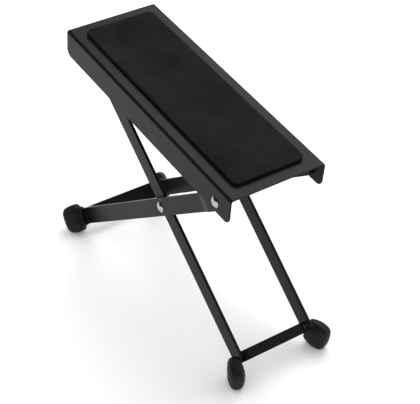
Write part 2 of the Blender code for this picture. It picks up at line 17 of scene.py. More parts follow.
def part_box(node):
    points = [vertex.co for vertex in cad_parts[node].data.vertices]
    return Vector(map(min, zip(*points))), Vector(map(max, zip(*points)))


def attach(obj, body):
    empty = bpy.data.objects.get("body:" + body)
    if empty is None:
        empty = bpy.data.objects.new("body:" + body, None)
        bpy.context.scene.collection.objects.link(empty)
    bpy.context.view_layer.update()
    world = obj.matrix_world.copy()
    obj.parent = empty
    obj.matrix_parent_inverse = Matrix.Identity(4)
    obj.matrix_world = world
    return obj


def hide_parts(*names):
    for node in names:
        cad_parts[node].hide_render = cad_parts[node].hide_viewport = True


bl_info = {
    "name": "Folding Guitar Footrest",
    "version": (1, 0, 0),
    "blender": (4, 5, 0),
    "location": "3D View > Sidebar > Footrest",
    "description": "Builds a folding guitar footrest with its mat, scissor bars, boots and rivets",
    "category": "Object",
}

NEAR = -1
FAR = 1
SIDE_NAMES = {NEAR: "near", FAR: "far"}

# Detail of the round shapes
FINE_STEP = math.radians(4)
TURN_STEPS = 48
BEND_STEPS = 14
JOGGLE_STEPS = 16
DOME_STEPS = 12

# Angles from which an edge stays crisp in the shading, is rounded off, and is rounded off on a boot
CRISP_ANGLE = math.radians(38)
CORNER_ANGLE = math.radians(40)
FACET_ANGLE = math.radians(10)

# Clearance between fitted pieces, a length longer than any piece, and a length below any detail
FIT = 0.0003
THROUGH = 1.0
SAME_PLACE = 1e-7

# Half the length round the crossing rivet where all four bars run straight
STRAIGHT_PART = 0.05

# Share of a rivet's closed end that stays at full width
RIVET_TAIL_SHARE = 0.45

# Share of a joggle's length that each of its two bends takes
JOGGLE_BEND_SHARE = 0.25

# Planes that an outline can stand in: XY, XZ, and YZ with its own X downwards
QUARTER = math.pi / 2
FLAT = Matrix.Identity(4)
UPRIGHT = Matrix.Rotation(QUARTER, 4, "X")
CROSSWISE = Matrix.Rotation(QUARTER, 4, "Y")

# Boot sections from the mouth to the tip: place along the length, width and thickness
FRONT_BOOT_SECTIONS = (
    (0.00, 0.70, 0.63),
    (0.06, 0.83, 0.72),
    (0.24, 0.96, 0.81),
    (0.42, 0.99, 0.94),
    (0.60, 0.97, 0.98),
    (0.82, 0.90, 0.88),
    (0.94, 0.72, 0.68),
    (1.00, 0.34, 0.32),
)
REAR_BOOT_SECTIONS = (
    (0.00, 0.69, 0.70),
    (0.12, 0.73, 0.74),
    (0.15, 0.67, 0.68),
    (0.19, 0.92, 0.88),
    (0.26, 0.99, 0.95),
    (0.44, 1.00, 1.00),
    (0.66, 0.97, 0.97),
    (0.84, 0.89, 0.86),
    (0.94, 0.72, 0.68),
    (1.00, 0.34, 0.32),
)
# Corners of a section in one quarter turn, between its facets
BOOT_CORNERS = (math.radians(14), math.radians(45), math.radians(76))
BOOT_SQUARENESS = 3.0

# The floor's radius and thickness, and how far its top lies under the soles
FLOOR_RADIUS = 6.0
FLOOR_THICKNESS = 0.002
FLOOR_DROP = 0.0002

# The soft box behind and to the left: place, size in metres and power in watts
SOFT_BOX_PLACE = Vector((-0.70, 1.05, 2.03))
SOFT_BOX_SIZE = (1.5, 1.9)
SOFT_BOX_POWER = 27.0

# The room's light on matt finishes, and the heights between which its white fades in reflections
ROOM_LIGHT = 1.0
WHITE_FADES = (0.18, 0.30)

# The dim room above the white gets lighter from the first depth to the second
ROOM_DEPTHS = (-0.2, 0.5)
ROOM_LEVELS = (0.03, 1.1)

# The white ends lower in front of the footrest: depths, and how much lower there
FRONT_DEPTHS = (-0.6, -0.2)
FRONT_LIFTS = (0.16, 0.0)

# The photograph's view: turn, rise and roll, place from the platform's pivot, lens and sensor in mm
VIEW_TURN = math.radians(56.38)
VIEW_RISE = math.radians(36.36)
VIEW_ROLL = math.radians(-0.49)
VIEW_FROM_PIVOT = Vector((0.74297, -0.5529, 0.65944))
VIEW_LENS = 104.79
VIEW_SENSOR = 36.0
VIEW_CLIP = (0.05, 50.0)

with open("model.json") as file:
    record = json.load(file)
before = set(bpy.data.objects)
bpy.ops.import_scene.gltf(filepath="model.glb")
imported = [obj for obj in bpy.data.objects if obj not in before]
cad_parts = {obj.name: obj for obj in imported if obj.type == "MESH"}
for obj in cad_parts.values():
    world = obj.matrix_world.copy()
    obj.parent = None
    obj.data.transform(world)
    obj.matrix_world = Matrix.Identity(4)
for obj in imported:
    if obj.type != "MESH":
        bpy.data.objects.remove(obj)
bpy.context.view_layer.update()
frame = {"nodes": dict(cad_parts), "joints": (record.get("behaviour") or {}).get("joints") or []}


def middle(node):
    low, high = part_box(node)
    return (low + high) / 2


def body_frame(origin, along):
    """A frame at the origin whose X runs along a direction, and whose Y runs across."""
    along = along.normalized()
    across = Vector((0, 1, 0))
    place = Matrix((along, across, along.cross(across))).transposed().to_4x4()
    place.translation = origin
    return place


def reach(node, place, distance=THROUGH):
    """Lowest and highest corner of a CAD node in a body's frame, within a distance along X."""
    back = place.inverted()
    points = [back @ vertex.co for vertex in frame["nodes"][node].data.vertices]
    points = [point for point in points if abs(point.x) < distance]
    low = Vector([min(point[i] for point in points) for i in range(3)])
    high = Vector([max(point[i] for point in points) for i in range(3)])
    return low, high


axes = {joint["name"]: Vector(joint["pos_m"]) for joint in frame["joints"]}
crossing = axes["leg_fold"]
pivot = axes["platform_fold"]
rod = middle("latch_rod")
arm_place = body_frame(crossing, pivot - crossing)
leg_place = body_frame(crossing, crossing - rod)
platform_place = body_frame(pivot, pivot - rod)

plate_low, plate_high = reach("platform_plate", platform_place)
mat_low, mat_high = reach("rubber_mat", platform_place)
leg_high = reach("leg_far", leg_place, STRAIGHT_PART)[1]
arm_high = reach("arm_far", arm_place, STRAIGHT_PART)[1]


def linear(hex_colour):
    """An sRGB hex colour as linear red, green, blue and alpha."""
    values = [int(hex_colour[i:i + 2], 16) / 255 for i in (1, 3, 5)]
    values = [v / 12.92 if v <= 0.04045 else ((v + 0.055) / 1.055) ** 2.4 for v in values]
    return (*values, 1.0)


def length(name, description, default):
    return FloatProperty(name=name, description=description, default=default, min=0,
                         subtype="DISTANCE", unit="LENGTH")


def angle(name, description, default):
    return FloatProperty(name=name, description=description, default=math.radians(default), subtype="ANGLE")


def colour(name, description, default):
    return FloatVectorProperty(name=name, description=description, default=linear(default), size=4,
                               min=0, max=1, subtype="COLOR")


class FOOTREST_PG_platform(bpy.types.PropertyGroup):
    """Sizes of the pressed platform and its mat."""

    sheet: length("Sheet", "Thickness of the pressed sheet", 0.0015)
    bend_radius: length("Bend", "Outer radius where the flanges turn down", 0.0031)
    corner_radius: length("Corner", "Radius of the flanges' lower corners", 0.0075)
    edge_radius: length("Edge", "Softness that the paint gives to the cut edges", 0.00025)
    mat_corner_radius: length("Mat corner", "Radius of the mat's corners", 0.0065)
    mat_edge_radius: length("Mat edge", "Roundness of the mat's top edge", 0.0011)


class FOOTREST_PG_bars(bpy.types.PropertyGroup):
    """Sizes of the flat bars and the crossbars."""

    leg_upper: length("Leg above the rivet", "From the crossing rivet to the rod", (crossing - rod).length)
    arm_front: length("Arm to the pivot", "From the crossing rivet to the pivot rivet",
                      (pivot - crossing).length)
    leg_width: length("Leg width", "Width of the long bars", 0.0190)
    leg_thickness: length("Leg thickness", "Thickness of the long bars", 0.0032)
    arm_width: length("Arm width", "Width of the short bars", 0.0190)
    arm_thickness: length("Arm thickness", "Thickness of the short bars", 0.0030)
    bend_radius: length("Foot bend", "Middle line radius of the bent feet", 0.0060)
    edge_radius: length("Edge", "Roundness of the rolled bars' edges", 0.0004)
    joggle: length("Joggle", "Sideways step of the arms beside the platform", 0.0020)
    joggle_start: length("Joggle start", "From the crossing rivet to the joggle", 0.090)
    joggle_length: length("Joggle length", "Length that the joggle takes", 0.016)
    leg_splay: angle("Leg splay", "Outward bend of the long bars' feet", 29)
    arm_splay: angle("Arm splay", "Outward bend of the short bars' feet", 40)
    leg_straight: length("Leg below the rivet", "From the crossing rivet to the foot's bend", 0.1650)
    arm_straight: length("Arm behind the rivet", "From the crossing rivet to the foot's bend", 0.1972)
    leg_foot: length("Leg foot", "From the bend to the middle of a front boot", 0.0160)
    arm_foot: length("Arm foot", "From the bend to the middle of a rear boot", 0.0156)
    foot_end: length("Foot end", "How far a foot goes past the middle of its boot", 0.0015)
    front_width: length("Front crossbar width", "Width of the front strip", 0.0110)
    front_thickness: length("Front crossbar thickness", "Thickness of the front strip", 0.0030)
    front_bend: length("Front crossbar bend", "Radius of the front strip's bent tabs", 0.0080)
    front_tab: length("Front crossbar tab", "Length welded to the leg", 0.0008)
    front_edge: length("Front crossbar edge", "Roundness of the front strip's rolled edges", 0.0011)
    front_place: length("Front crossbar place", "From the crossing rivet to the strip", 0.1696)
    rear_width: length("Rear crossbar width", "Width of the rear strip", 0.0190)
    rear_thickness: length("Rear crossbar thickness", "Thickness of the rear strip", 0.0025)
    rear_bend: length("Rear crossbar bend", "Radius of the rear strip's bent tabs", 0.0045)
    rear_tab: length("Rear crossbar tab", "Length welded to the arm", 0.0120)
    rear_place: length("Rear crossbar place", "From the crossing rivet to the strip", 0.2013)


class FOOTREST_PG_boots(bpy.types.PropertyGroup):
    """Sizes of the rubber boots."""

    length: length("Length", "From the boot's mouth to its tip", 0.0258)
    width: length("Width", "Across the bar's width", 0.0327)
    thickness: length("Thickness", "Across the bar's thickness", 0.0173)
    front_turn: angle("Front turn", "Outward turn of a front boot, seen from above", 20.5)
    front_dip: angle("Front dip", "Slope of a front boot towards the floor", 12)
    front_drop: length("Front drop", "Middle of a front boot below the middle of its bar", 0.0025)
    rear_rise: length("Rear rise", "Middle of a rear boot above the middle of its bar", 0.0006)
    edge_radius: length("Edge", "Roundness of the edges between a boot's facets", 0.0006)
    fit: length("Fit", "Clearance round the bar", FIT)


class FOOTREST_PG_fasteners(bpy.types.PropertyGroup):
    """Sizes of the rivets, the washers and the rod."""

    shank: length("Rivet shank", "Radius of the rivets' shanks", 0.0030)
    head_radius: length("Rivet head", "Radius of the domed heads", 0.0055)
    head_height: length("Rivet head height", "Height of the domed heads", 0.0023)
    tail_radius: length("Rivet tail", "Radius of the closed ends", 0.0048)
    tail_height: length("Rivet tail height", "Height of the closed ends", 0.0020)
    pivot_washer: length("Pivot washer", "Thickness of the washers at the platform", 0.0008)
    crossing_washer: length("Crossing washer", "Thickness of the washers at the crossing", 0.0010)
    washer_radius: length("Washer radius", "Outer radius of the washers", 0.0075)
    rod_radius: length("Rod", "Radius of the rod between the legs", 0.0035)
    rod_neck: length("Rod neck", "Radius where the rod passes through the legs", 0.0026)
    rod_head_radius: length("Rod head", "Radius of the rod's upset ends", 0.0044)
    rod_head_height: length("Rod head height", "Height of the rod's upset ends", 0.0008)


class FOOTREST_PG_colours(bpy.types.PropertyGroup):
    """Colours of the finishes."""

    paint: colour("Paint", "Black powder paint on all the steel", "#101011")
    paint_light: colour("Paint, rubbed", "The same paint where hands and shoes rub it", "#161617")
    mat: colour("Mat", "Black rubber of the mat", "#090a0a")
    mat_dust: colour("Mat, dusty", "The mat where fine dust lies on it", "#181919")
    boot: colour("Boots", "Black rubber of the boots", "#0e0e0f")
    boot_bloom: colour("Boots, bloomed", "The boots' rubber where it has greyed", "#1b1c1d")
    zinc: colour("Zinc", "Bright zinc plate of the rivets and the rod", "#c2c3c4")
    zinc_dull: colour("Zinc, dulled", "The same plate where it has dulled", "#939597")
    nylon: colour("Nylon", "Black nylon of the washers", "#202022")
    floor: colour("Floor", "White studio floor", "#fbfbfb")


PROPERTY_GROUPS = {
    "footrest_platform": FOOTREST_PG_platform,
    "footrest_bars": FOOTREST_PG_bars,
    "footrest_boots": FOOTREST_PG_boots,
    "footrest_fasteners": FOOTREST_PG_fasteners,
    "footrest_colours": FOOTREST_PG_colours,
}


def add_node(tree, kind, settings, links=()):
    """Add a node. Settings are its own fields or its sockets' values, and links feed its sockets."""
    node = tree.nodes.new(kind)
    for name, value in settings.items():
        if isinstance(name, int) or name in node.inputs:
            node.inputs[name].default_value = value
        else:
            setattr(node, name, value)
    for name, source in dict(links).items():
        tree.links.new(source, node.inputs[name])
    return node


def ready(make):
    """The finish of that maker, made once. A maker gives the shader's values and what feeds it."""
    material = bpy.data.materials.get(make.__name__)
    if material:
        return material
    material = bpy.data.materials.new(make.__name__)
    material.use_nodes = True
    tree = material.node_tree
    shader = tree.nodes["Principled BSDF"]
    place = add_node(tree, "ShaderNodeTexCoord", {}).outputs["Object"]
    for name, look in make(tree, place, bpy.context.scene.footrest_colours).items():
        if isinstance(look, bpy.types.NodeSocket):
            tree.links.new(look, shader.inputs[name])
        else:
            shader.inputs[name].default_value = look
    return material


def satin_black_powder_paint(tree, place, colours):
    """Sprayed and baked powder: an even black with a low sheen and a fine orange peel."""
    patches = add_node(tree, "ShaderNodeTexNoise", {"Scale": 38.0, "Detail": 3.0}, {"Vector": place})
    tone = add_node(tree, "ShaderNodeMix", {"data_type": "RGBA", 6: colours.paint, 7: colours.paint_light},
                    {0: patches.outputs["Fac"]})
    gloss = add_node(tree, "ShaderNodeMapRange", {"To Min": 0.29, "To Max": 0.36},
                     {"Value": patches.outputs["Fac"]})
    # Orange peel of about 0.9 mm
    peel = add_node(tree, "ShaderNodeTexNoise", {"Scale": 1100.0, "Detail": 2.0}, {"Vector": place})
    relief = add_node(tree, "ShaderNodeBump", {"Strength": 0.22, "Distance": 0.00006},
                      {"Height": peel.outputs["Fac"]})
    return {"Base Color": tone.outputs[2], "Roughness": gloss.outputs["Result"],
            "Normal": relief.outputs["Normal"], "IOR": 1.18}


def grained_mat_rubber(tree, place, colours):
    """Calendered rubber sheet: matt black with a close pebble grain, greyed a little by dust."""
    dust = add_node(tree, "ShaderNodeTexNoise", {"Scale": 22.0, "Detail": 5.0}, {"Vector": place})
    settled = add_node(tree, "ShaderNodeMapRange", {"From Min": 0.36, "From Max": 0.66},
                       {"Value": dust.outputs["Fac"]})
    tone = add_node(tree, "ShaderNodeMix", {"data_type": "RGBA", 6: colours.mat, 7: colours.mat_dust},
                    {0: settled.outputs["Result"]})
    # Pebbles of about 1.1 mm
    grain = add_node(tree, "ShaderNodeTexVoronoi", {"feature": "F1", "Scale": 900.0}, {"Vector": place})
    relief = add_node(tree, "ShaderNodeBump", {"Strength": 0.55, "Distance": 0.00025, "invert": True},
                      {"Height": grain.outputs["Distance"]})
    return {"Base Color": tone.outputs[2], "Roughness": 0.72, "Normal": relief.outputs["Normal"],
            "Specular IOR Level": 0.07}


def moulded_boot_rubber(tree, place, colours):
    """Moulded rubber: soft black with a low sheen and a faint grey bloom."""
    bloom = add_node(tree, "ShaderNodeTexNoise", {"Scale": 85.0, "Detail": 4.0}, {"Vector": place})
    tone = add_node(tree, "ShaderNodeMix", {"data_type": "RGBA", 6: colours.boot, 7: colours.boot_bloom},
                    {0: bloom.outputs["Fac"]})
    gloss = add_node(tree, "ShaderNodeMapRange", {"To Min": 0.5, "To Max": 0.62},
                     {"Value": bloom.outputs["Fac"]})
    # Spark grain of the mould, about 0.6 mm
    grain = add_node(tree, "ShaderNodeTexNoise", {"Scale": 1600.0, "Detail": 2.0}, {"Vector": place})
    relief = add_node(tree, "ShaderNodeBump", {"Strength": 0.3, "Distance": 0.0001},
                      {"Height": grain.outputs["Fac"]})
    return {"Base Color": tone.outputs[2], "Roughness": gloss.outputs["Result"],
            "Normal": relief.outputs["Normal"], "IOR": 1.26}


def bright_zinc_plate(tree, place, colours):
    """Zinc plated steel: bright and faintly cloudy."""
    clouds = add_node(tree, "ShaderNodeTexNoise", {"Scale": 420.0, "Detail": 4.0}, {"Vector": place})
    tone = add_node(tree, "ShaderNodeMix", {"data_type": "RGBA", 6: colours.zinc, 7: colours.zinc_dull},
                    {0: clouds.outputs["Fac"]})
    gloss = add_node(tree, "ShaderNodeMapRange", {"To Min": 0.07, "To Max": 0.16},
                     {"Value": clouds.outputs["Fac"]})
    return {"Base Color": tone.outputs[2], "Roughness": gloss.outputs["Result"], "Metallic": 1.0}


def black_nylon(tree, place, colours):
    """Stamped nylon: plain black with a soft sheen."""
    haze = add_node(tree, "ShaderNodeTexNoise", {"Scale": 300.0, "Detail": 2.0}, {"Vector": place})
    gloss = add_node(tree, "ShaderNodeMapRange", {"To Min": 0.42, "To Max": 0.55},
                     {"Value": haze.outputs["Fac"]})
    return {"Base Color": colours.nylon, "Roughness": gloss.outputs["Result"]}


def white_studio_floor(tree, place, colours):
    """Painted studio floor: matt white."""
    return {"Base Color": colours.floor, "Roughness": 0.9, "Specular IOR Level": 0.1}


def arc(centre, radius, start, end):
    """Points along an arc, both ends included."""
    steps = max(2, math.ceil(abs(end - start) / FINE_STEP))
    angles = [start + (end - start) * i / steps for i in range(steps + 1)]
    return [(centre[0] + radius * math.cos(a), centre[1] + radius * math.sin(a)) for a in angles]


def rounded_rectangle(low, high, radius):
    """Outline of a rectangle with equal round corners."""
    centres = (
        (high[0] - radius, high[1] - radius),
        (low[0] + radius, high[1] - radius),
        (low[0] + radius, low[1] + radius),
        (high[0] - radius, low[1] + radius),
    )
    outline = []
    for turn, centre in enumerate(centres):
        outline += arc(centre, radius, turn * QUARTER, (turn + 1) * QUARTER)
    return outline


def strip_outline(path, thickness):
    """Outline of a strip seen on its edge, from the points and directions along its middle."""
    half = thickness / 2
    left = [(x - half * math.sin(a), y + half * math.cos(a)) for x, y, a in path]
    right = [(x + half * math.sin(a), y - half * math.cos(a)) for x, y, a in path]
    return left + right[::-1]


def bend(path, radius, turn):
    """Carry a path on round a bend. A positive turn is to the left."""
    x, y, heading = path[-1]
    steps = max(1, math.ceil(abs(turn) / FINE_STEP))
    side = math.copysign(1, turn)
    centre = (x - side * radius * math.sin(heading), y + side * radius * math.cos(heading))
    for i in range(1, steps + 1):
        a = heading + turn * i / steps
        path.append((centre[0] + side * radius * math.sin(a), centre[1] - side * radius * math.cos(a), a))


def run(path, distance):
    """Carry a path straight on."""
    x, y, heading = path[-1]
    path.append((x + distance * math.cos(heading), y + distance * math.sin(heading), heading))


def finished(work, name):
    """The mesh of that work, with its faces turned outwards."""
    bmesh.ops.recalc_face_normals(work, faces=work.faces)
    mesh = bpy.data.meshes.new(name)
    work.to_mesh(mesh)
    work.free()
    return mesh


def prism(outline, thickness, stand=FLAT):
    """A solid of even thickness, centred on the plane that its outline stands in."""
    work = bmesh.new()
    half = thickness / 2
    low = [work.verts.new((x, y, -half)) for x, y in outline]
    high = [work.verts.new((x, y, half)) for x, y in outline]
    for i in range(len(outline)):
        j = (i + 1) % len(outline)
        work.faces.new((low[i], low[j], high[j], high[i]))
    work.faces.new(low)
    work.faces.new(high)
    bmesh.ops.remove_doubles(work, verts=work.verts, dist=SAME_PLACE)
    mesh = finished(work, "prism")
    mesh.transform(stand)
    return mesh


def turned(profile, closed):
    """A solid turned about Z. The profile is radius and height."""
    work = bmesh.new()
    rings = []
    for radius, height in profile:
        count = 1 if radius == 0 else TURN_STEPS
        ring = []
        for i in range(count):
            a = 2 * math.pi * i / TURN_STEPS
            ring.append(work.verts.new((radius * math.cos(a), radius * math.sin(a), height)))
        rings.append(ring)
    pairs = list(zip(rings, rings[1:]))
    if closed:
        pairs.append((rings[-1], rings[0]))
    for low, high in pairs:
        for i in range(TURN_STEPS):
            j = (i + 1) % TURN_STEPS
            corners = (low[i % len(low)], low[j % len(low)], high[j % len(high)], high[i % len(high)])
            work.faces.new(list(dict.fromkeys(corners)))
    return finished(work, "turned")


def drill(place, radius, depth):
    """A cutter for a hole along Y."""
    mesh = turned([(0, -depth / 2), (radius, -depth / 2), (radius, depth / 2), (0, depth / 2)], False)
    mesh.transform(Matrix.Translation(place) @ UPRIGHT)
    return mesh


def in_scene(name, data):
    """A new object in the scene, for that mesh, lamp or camera."""
    thing = bpy.data.objects.new(name, data)
    bpy.context.scene.collection.objects.link(thing)
    return thing


def modify(piece, kind, **settings):
    """Add a modifier with its settings."""
    modifier = piece.modifiers.new(kind.title(), kind)
    for name, value in settings.items():
        setattr(modifier, name, value)


def evaluated(piece, used):
    """The piece's mesh after its modifiers. The objects that were used for it are removed."""
    graph = bpy.context.evaluated_depsgraph_get()
    mesh = bpy.data.meshes.new_from_object(piece.evaluated_get(graph))
    piece.modifiers.clear()
    for thing in used:
        data = thing.data
        bpy.data.objects.remove(thing)
        bpy.data.meshes.remove(data)
    return mesh


def smooth(mesh):
    """Shade round faces round, and leave sharp edges crisp."""
    mesh.shade_smooth()
    mesh.set_sharp_from_angle(angle=CRISP_ANGLE)


def shaped(mesh, cuts=(), edge_radius=0, edge_steps=3, edge_angle=CORNER_ANGLE, late_cuts=(), before=()):
    """The mesh after its cuts and its edge rounding, with even shading on its flat faces."""
    piece = in_scene("work", mesh)
    used = [piece]

    def cut(operation, cutter_mesh):
        cutter = in_scene("cutter", cutter_mesh)
        used.append(cutter)
        modify(piece, "BOOLEAN", operation=operation, solver="EXACT", object=cutter)

    for kind, settings in before:
        modify(piece, kind, **settings)
    for item in cuts:
        cut(*item)
    if edge_radius:
        modify(piece, "BEVEL", width=edge_radius, segments=edge_steps, limit_method="ANGLE",
               angle_limit=edge_angle)
    for item in late_cuts:
        cut(*item)
    result = evaluated(piece, used)
    smooth(result)
    shaded = in_scene("work", result)
    modify(shaded, "WEIGHTED_NORMAL", keep_sharp=True)
    return evaluated(shaded, [shaded])


def place_piece(name, mesh, place, body, finish, slot, *nodes):
    """Put a finished mesh where its body stands, in place of its CAD nodes."""
    mesh.transform(place)
    mesh.name = name
    mesh.materials.clear()
    mesh.materials.append(finish)
    piece = in_scene(name, mesh)
    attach(piece, body)
    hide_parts(*nodes)


class FOOTREST_OT_platform(bpy.types.Operator):
    """Press the platform from sheet, with its flanges turned down and its pivot holes drilled"""

    bl_idname = "footrest.platform"
    bl_label = "Platform"

    def execute(self, context):
        sizes = context.scene.footrest_platform
        fasteners = context.scene.footrest_fasteners
        half = plate_high.y
        work = bmesh.new()
        corners = [(plate_low.x, -half), (plate_high.x, -half), (plate_high.x, half), (plate_low.x, half)]
        top = work.faces.new([work.verts.new((x, y, plate_high.z)) for x, y in corners])
        if top.normal.z < 0:
            top.normal_flip()
        sides = [e for e in work.edges if abs(e.verts[0].co.y - e.verts[1].co.y) < SAME_PLACE]
        for item in bmesh.ops.extrude_edge_only(work, edges=sides)["geom"]:
            if isinstance(item, bmesh.types.BMVert):
                item.co.z = plate_low.z
        bends = [e for e in work.edges
                 if len(e.link_faces) == 2 and min(v.co.z for v in e.verts) > plate_low.z]
        bmesh.ops.bevel(work, geom=bends, offset=sizes.bend_radius, segments=BEND_STEPS, profile=0.5,
                        affect="EDGES")
        low = [v for v in work.verts if v.co.z < plate_low.z + SAME_PLACE]
        bmesh.ops.bevel(work, geom=low, offset=sizes.corner_radius, segments=BEND_STEPS, profile=0.5,
                        affect="VERTICES")
        bmesh.ops.recalc_face_normals(work, faces=work.faces)
        if max(work.faces, key=lambda face: face.calc_area()).normal.z < 0:
            bmesh.ops.reverse_faces(work, faces=work.faces)
        mesh = bpy.data.meshes.new("plate")
        work.to_mesh(mesh)
        work.free()
        hole = drill((0, 0, 0), fasteners.shank + FIT, THROUGH)
        sheet = ("SOLIDIFY", {"thickness": sizes.sheet, "offset": -1, "use_even_offset": True})
        mesh = shaped(mesh, [("DIFFERENCE", hole)], sizes.edge_radius, edge_steps=2, before=[sheet])
        place_piece("platform_pressing", mesh, platform_place, "platform", ready(satin_black_powder_paint),
                    "black_satin_paint", "platform_plate")
        return {"FINISHED"}


class FOOTREST_OT_mat(bpy.types.Operator):
    """Lay the rubber mat on the platform, with its corners and its top edge rounded"""

    bl_idname = "footrest.mat"
    bl_label = "Mat"

    def execute(self, context):
        sizes = context.scene.footrest_platform
        outline = rounded_rectangle(mat_low, mat_high, sizes.mat_corner_radius)
        mesh = prism(outline, mat_high.z - mat_low.z)
        mesh.transform(Matrix.Translation((0, 0, (mat_high.z + mat_low.z) / 2)))
        mesh = shaped(mesh, edge_radius=sizes.mat_edge_radius, edge_steps=5)
        place_piece("mat_sheet", mesh, platform_place, "platform", ready(grained_mat_rubber), "mat_rubber",
                    "rubber_mat")
        return {"FINISHED"}


def bar_mesh(path, thickness, width, face, holes, side, edge_radius):
    """A flat bar bent along a path, trimmed to its face outline and drilled."""
    outline = [(x, side * y) for x, y in strip_outline(path, thickness)]
    strip = prism(outline, width + 2 * edge_radius)
    cuts = [("INTERSECT", prism(face, THROUGH, UPRIGHT))]
    late = [("DIFFERENCE", drill(place, radius, THROUGH)) for place, radius in holes]
    return shaped(strip, cuts, edge_radius, late_cuts=late)


class FOOTREST_OT_legs(bpy.types.Operator):
    """Bend the two long legs, round their tops and drill them for the rod and the crossing rivets"""

    bl_idname = "footrest.legs"
    bl_label = "Long legs"

    def execute(self, context):
        bars = context.scene.footrest_bars
        boots = context.scene.footrest_boots
        fasteners = context.scene.footrest_fasteners
        half = bars.leg_width / 2
        start = -bars.leg_upper - half
        for side in (NEAR, FAR):
            path = foot_path(start, leg_middle(bars), bars.leg_straight, bars.bend_radius, bars.leg_splay,
                             bars.leg_foot + bars.foot_end)
            longest = bars.leg_straight + 2 * boots.length
            face = arc((start + half, 0), half, QUARTER, 3 * QUARTER) + [(longest, -half), (longest, half)]
            holes = [((0, 0, 0), fasteners.shank + FIT), ((-bars.leg_upper, 0, 0), fasteners.rod_neck + FIT)]
            mesh = bar_mesh(path, bars.leg_thickness, bars.leg_width, face, holes, side, bars.edge_radius)
            place_piece("leg_bar_" + SIDE_NAMES[side], mesh, leg_place, "leg_frame",
                        ready(satin_black_powder_paint), "black_satin_paint", "leg_" + SIDE_NAMES[side])
        return {"FINISHED"}


def foot_path(start, across, straight, radius, splay, foot):
    """The path of a bar that runs straight, then bends outwards to its foot."""
    path = [(start, across, 0)]
    run(path, straight - start)
    bend(path, radius, splay)
    run(path, foot)
    return path


def leg_middle(bars):
    return leg_high.y - bars.leg_thickness / 2


def arm_middle(bars):
    return arm_high.y - bars.arm_thickness / 2


def joggle_shares(share):
    """Height and slope of a joggle at a share of its length: a straight ramp between two bends."""
    steepest = 1 / (1 - JOGGLE_BEND_SHARE)
    rise = min(share, 1 - share)
    if rise < JOGGLE_BEND_SHARE:
        height = steepest * rise ** 2 / (2 * JOGGLE_BEND_SHARE)
        return (height if share < 0.5 else 1 - height), steepest * rise / JOGGLE_BEND_SHARE
    return steepest * (share - JOGGLE_BEND_SHARE / 2), steepest


class FOOTREST_OT_arms(bpy.types.Operator):
    """Bend and joggle the two short arms, round their front ends and drill them for the rivets"""

    bl_idname = "footrest.arms"
    bl_label = "Short arms"

    def execute(self, context):
        bars = context.scene.footrest_bars
        boots = context.scene.footrest_boots
        fasteners = context.scene.footrest_fasteners
        half = bars.arm_width / 2
        front = bars.arm_front + half
        across = arm_middle(bars)
        for side in (NEAR, FAR):
            path = [(-front, across + bars.joggle, 0)]
            for i in range(JOGGLE_STEPS + 1):
                share = i / JOGGLE_STEPS
                fall, steepness = joggle_shares(share)
                x = -bars.joggle_start - bars.joggle_length * (1 - share)
                lean = -math.atan(steepness * bars.joggle / bars.joggle_length)
                path.append((x, across + bars.joggle * (1 - fall), lean))
            path.append((0, across, 0))
            run(path, bars.arm_straight)
            bend(path, bars.bend_radius, bars.arm_splay)
            run(path, bars.arm_foot + bars.foot_end)
            path = [(-x, y, -a) for x, y, a in path]
            longest = bars.arm_straight + 2 * boots.length
            face = arc((front - half, 0), half, -QUARTER, QUARTER) + [(-longest, half), (-longest, -half)]
            hole = fasteners.shank + FIT
            holes = [((0, 0, 0), hole), ((bars.arm_front, 0, 0), hole)]
            mesh = bar_mesh(path, bars.arm_thickness, bars.arm_width, face, holes, side, bars.edge_radius)
            place_piece("arm_bar_" + SIDE_NAMES[side], mesh, arm_place, "arm_frame",
                        ready(satin_black_powder_paint), "black_satin_paint", "arm_" + SIDE_NAMES[side])
        return {"FINISHED"}


def crossbar_outline(half_span, radius, tab, thickness):
    """A strip across the frame, with a tab bent back at each end. X is back and Y is across."""
    inner = half_span - thickness / 2
    path = [(tab + radius, -inner, math.pi)]
    run(path, tab)
    bend(path, radius, -QUARTER)
    run(path, 2 * (inner - radius))
    bend(path, radius, -QUARTER)
    run(path, tab)
    return strip_outline(path, thickness)


class FOOTREST_OT_crossbars(bpy.types.Operator):
    """Bend the front and rear crossbars, which are welded between the bars"""

    bl_idname = "footrest.crossbars"
    bl_label = "Crossbars"

    def execute(self, context):
        bars = context.scene.footrest_bars
        span = leg_high.y - bars.leg_thickness - FIT
        outline = crossbar_outline(span, bars.front_bend, bars.front_tab, bars.front_thickness)
        mesh = prism(outline, bars.front_width, CROSSWISE)
        mesh.transform(Matrix.Translation((bars.front_place, 0, bars.front_thickness)))
        mesh = shaped(mesh, edge_radius=bars.front_edge, edge_steps=6)
        place_piece("crossbar_front", mesh, leg_place, "leg_frame", ready(satin_black_powder_paint),
                    "black_satin_paint", "front_crossbar")
        span = arm_high.y - bars.arm_thickness - FIT
        outline = crossbar_outline(span, bars.rear_bend, bars.rear_tab, bars.rear_thickness)
        mesh = prism(outline, bars.rear_width)
        mesh.transform(Matrix.Translation((-bars.rear_place, 0, 0)))
        mesh = shaped(mesh, edge_radius=bars.edge_radius)
        place_piece("crossbar_rear", mesh, arm_place, "arm_frame", ready(satin_black_powder_paint),
                    "black_satin_paint", "rear_crossbar")
        return {"FINISHED"}


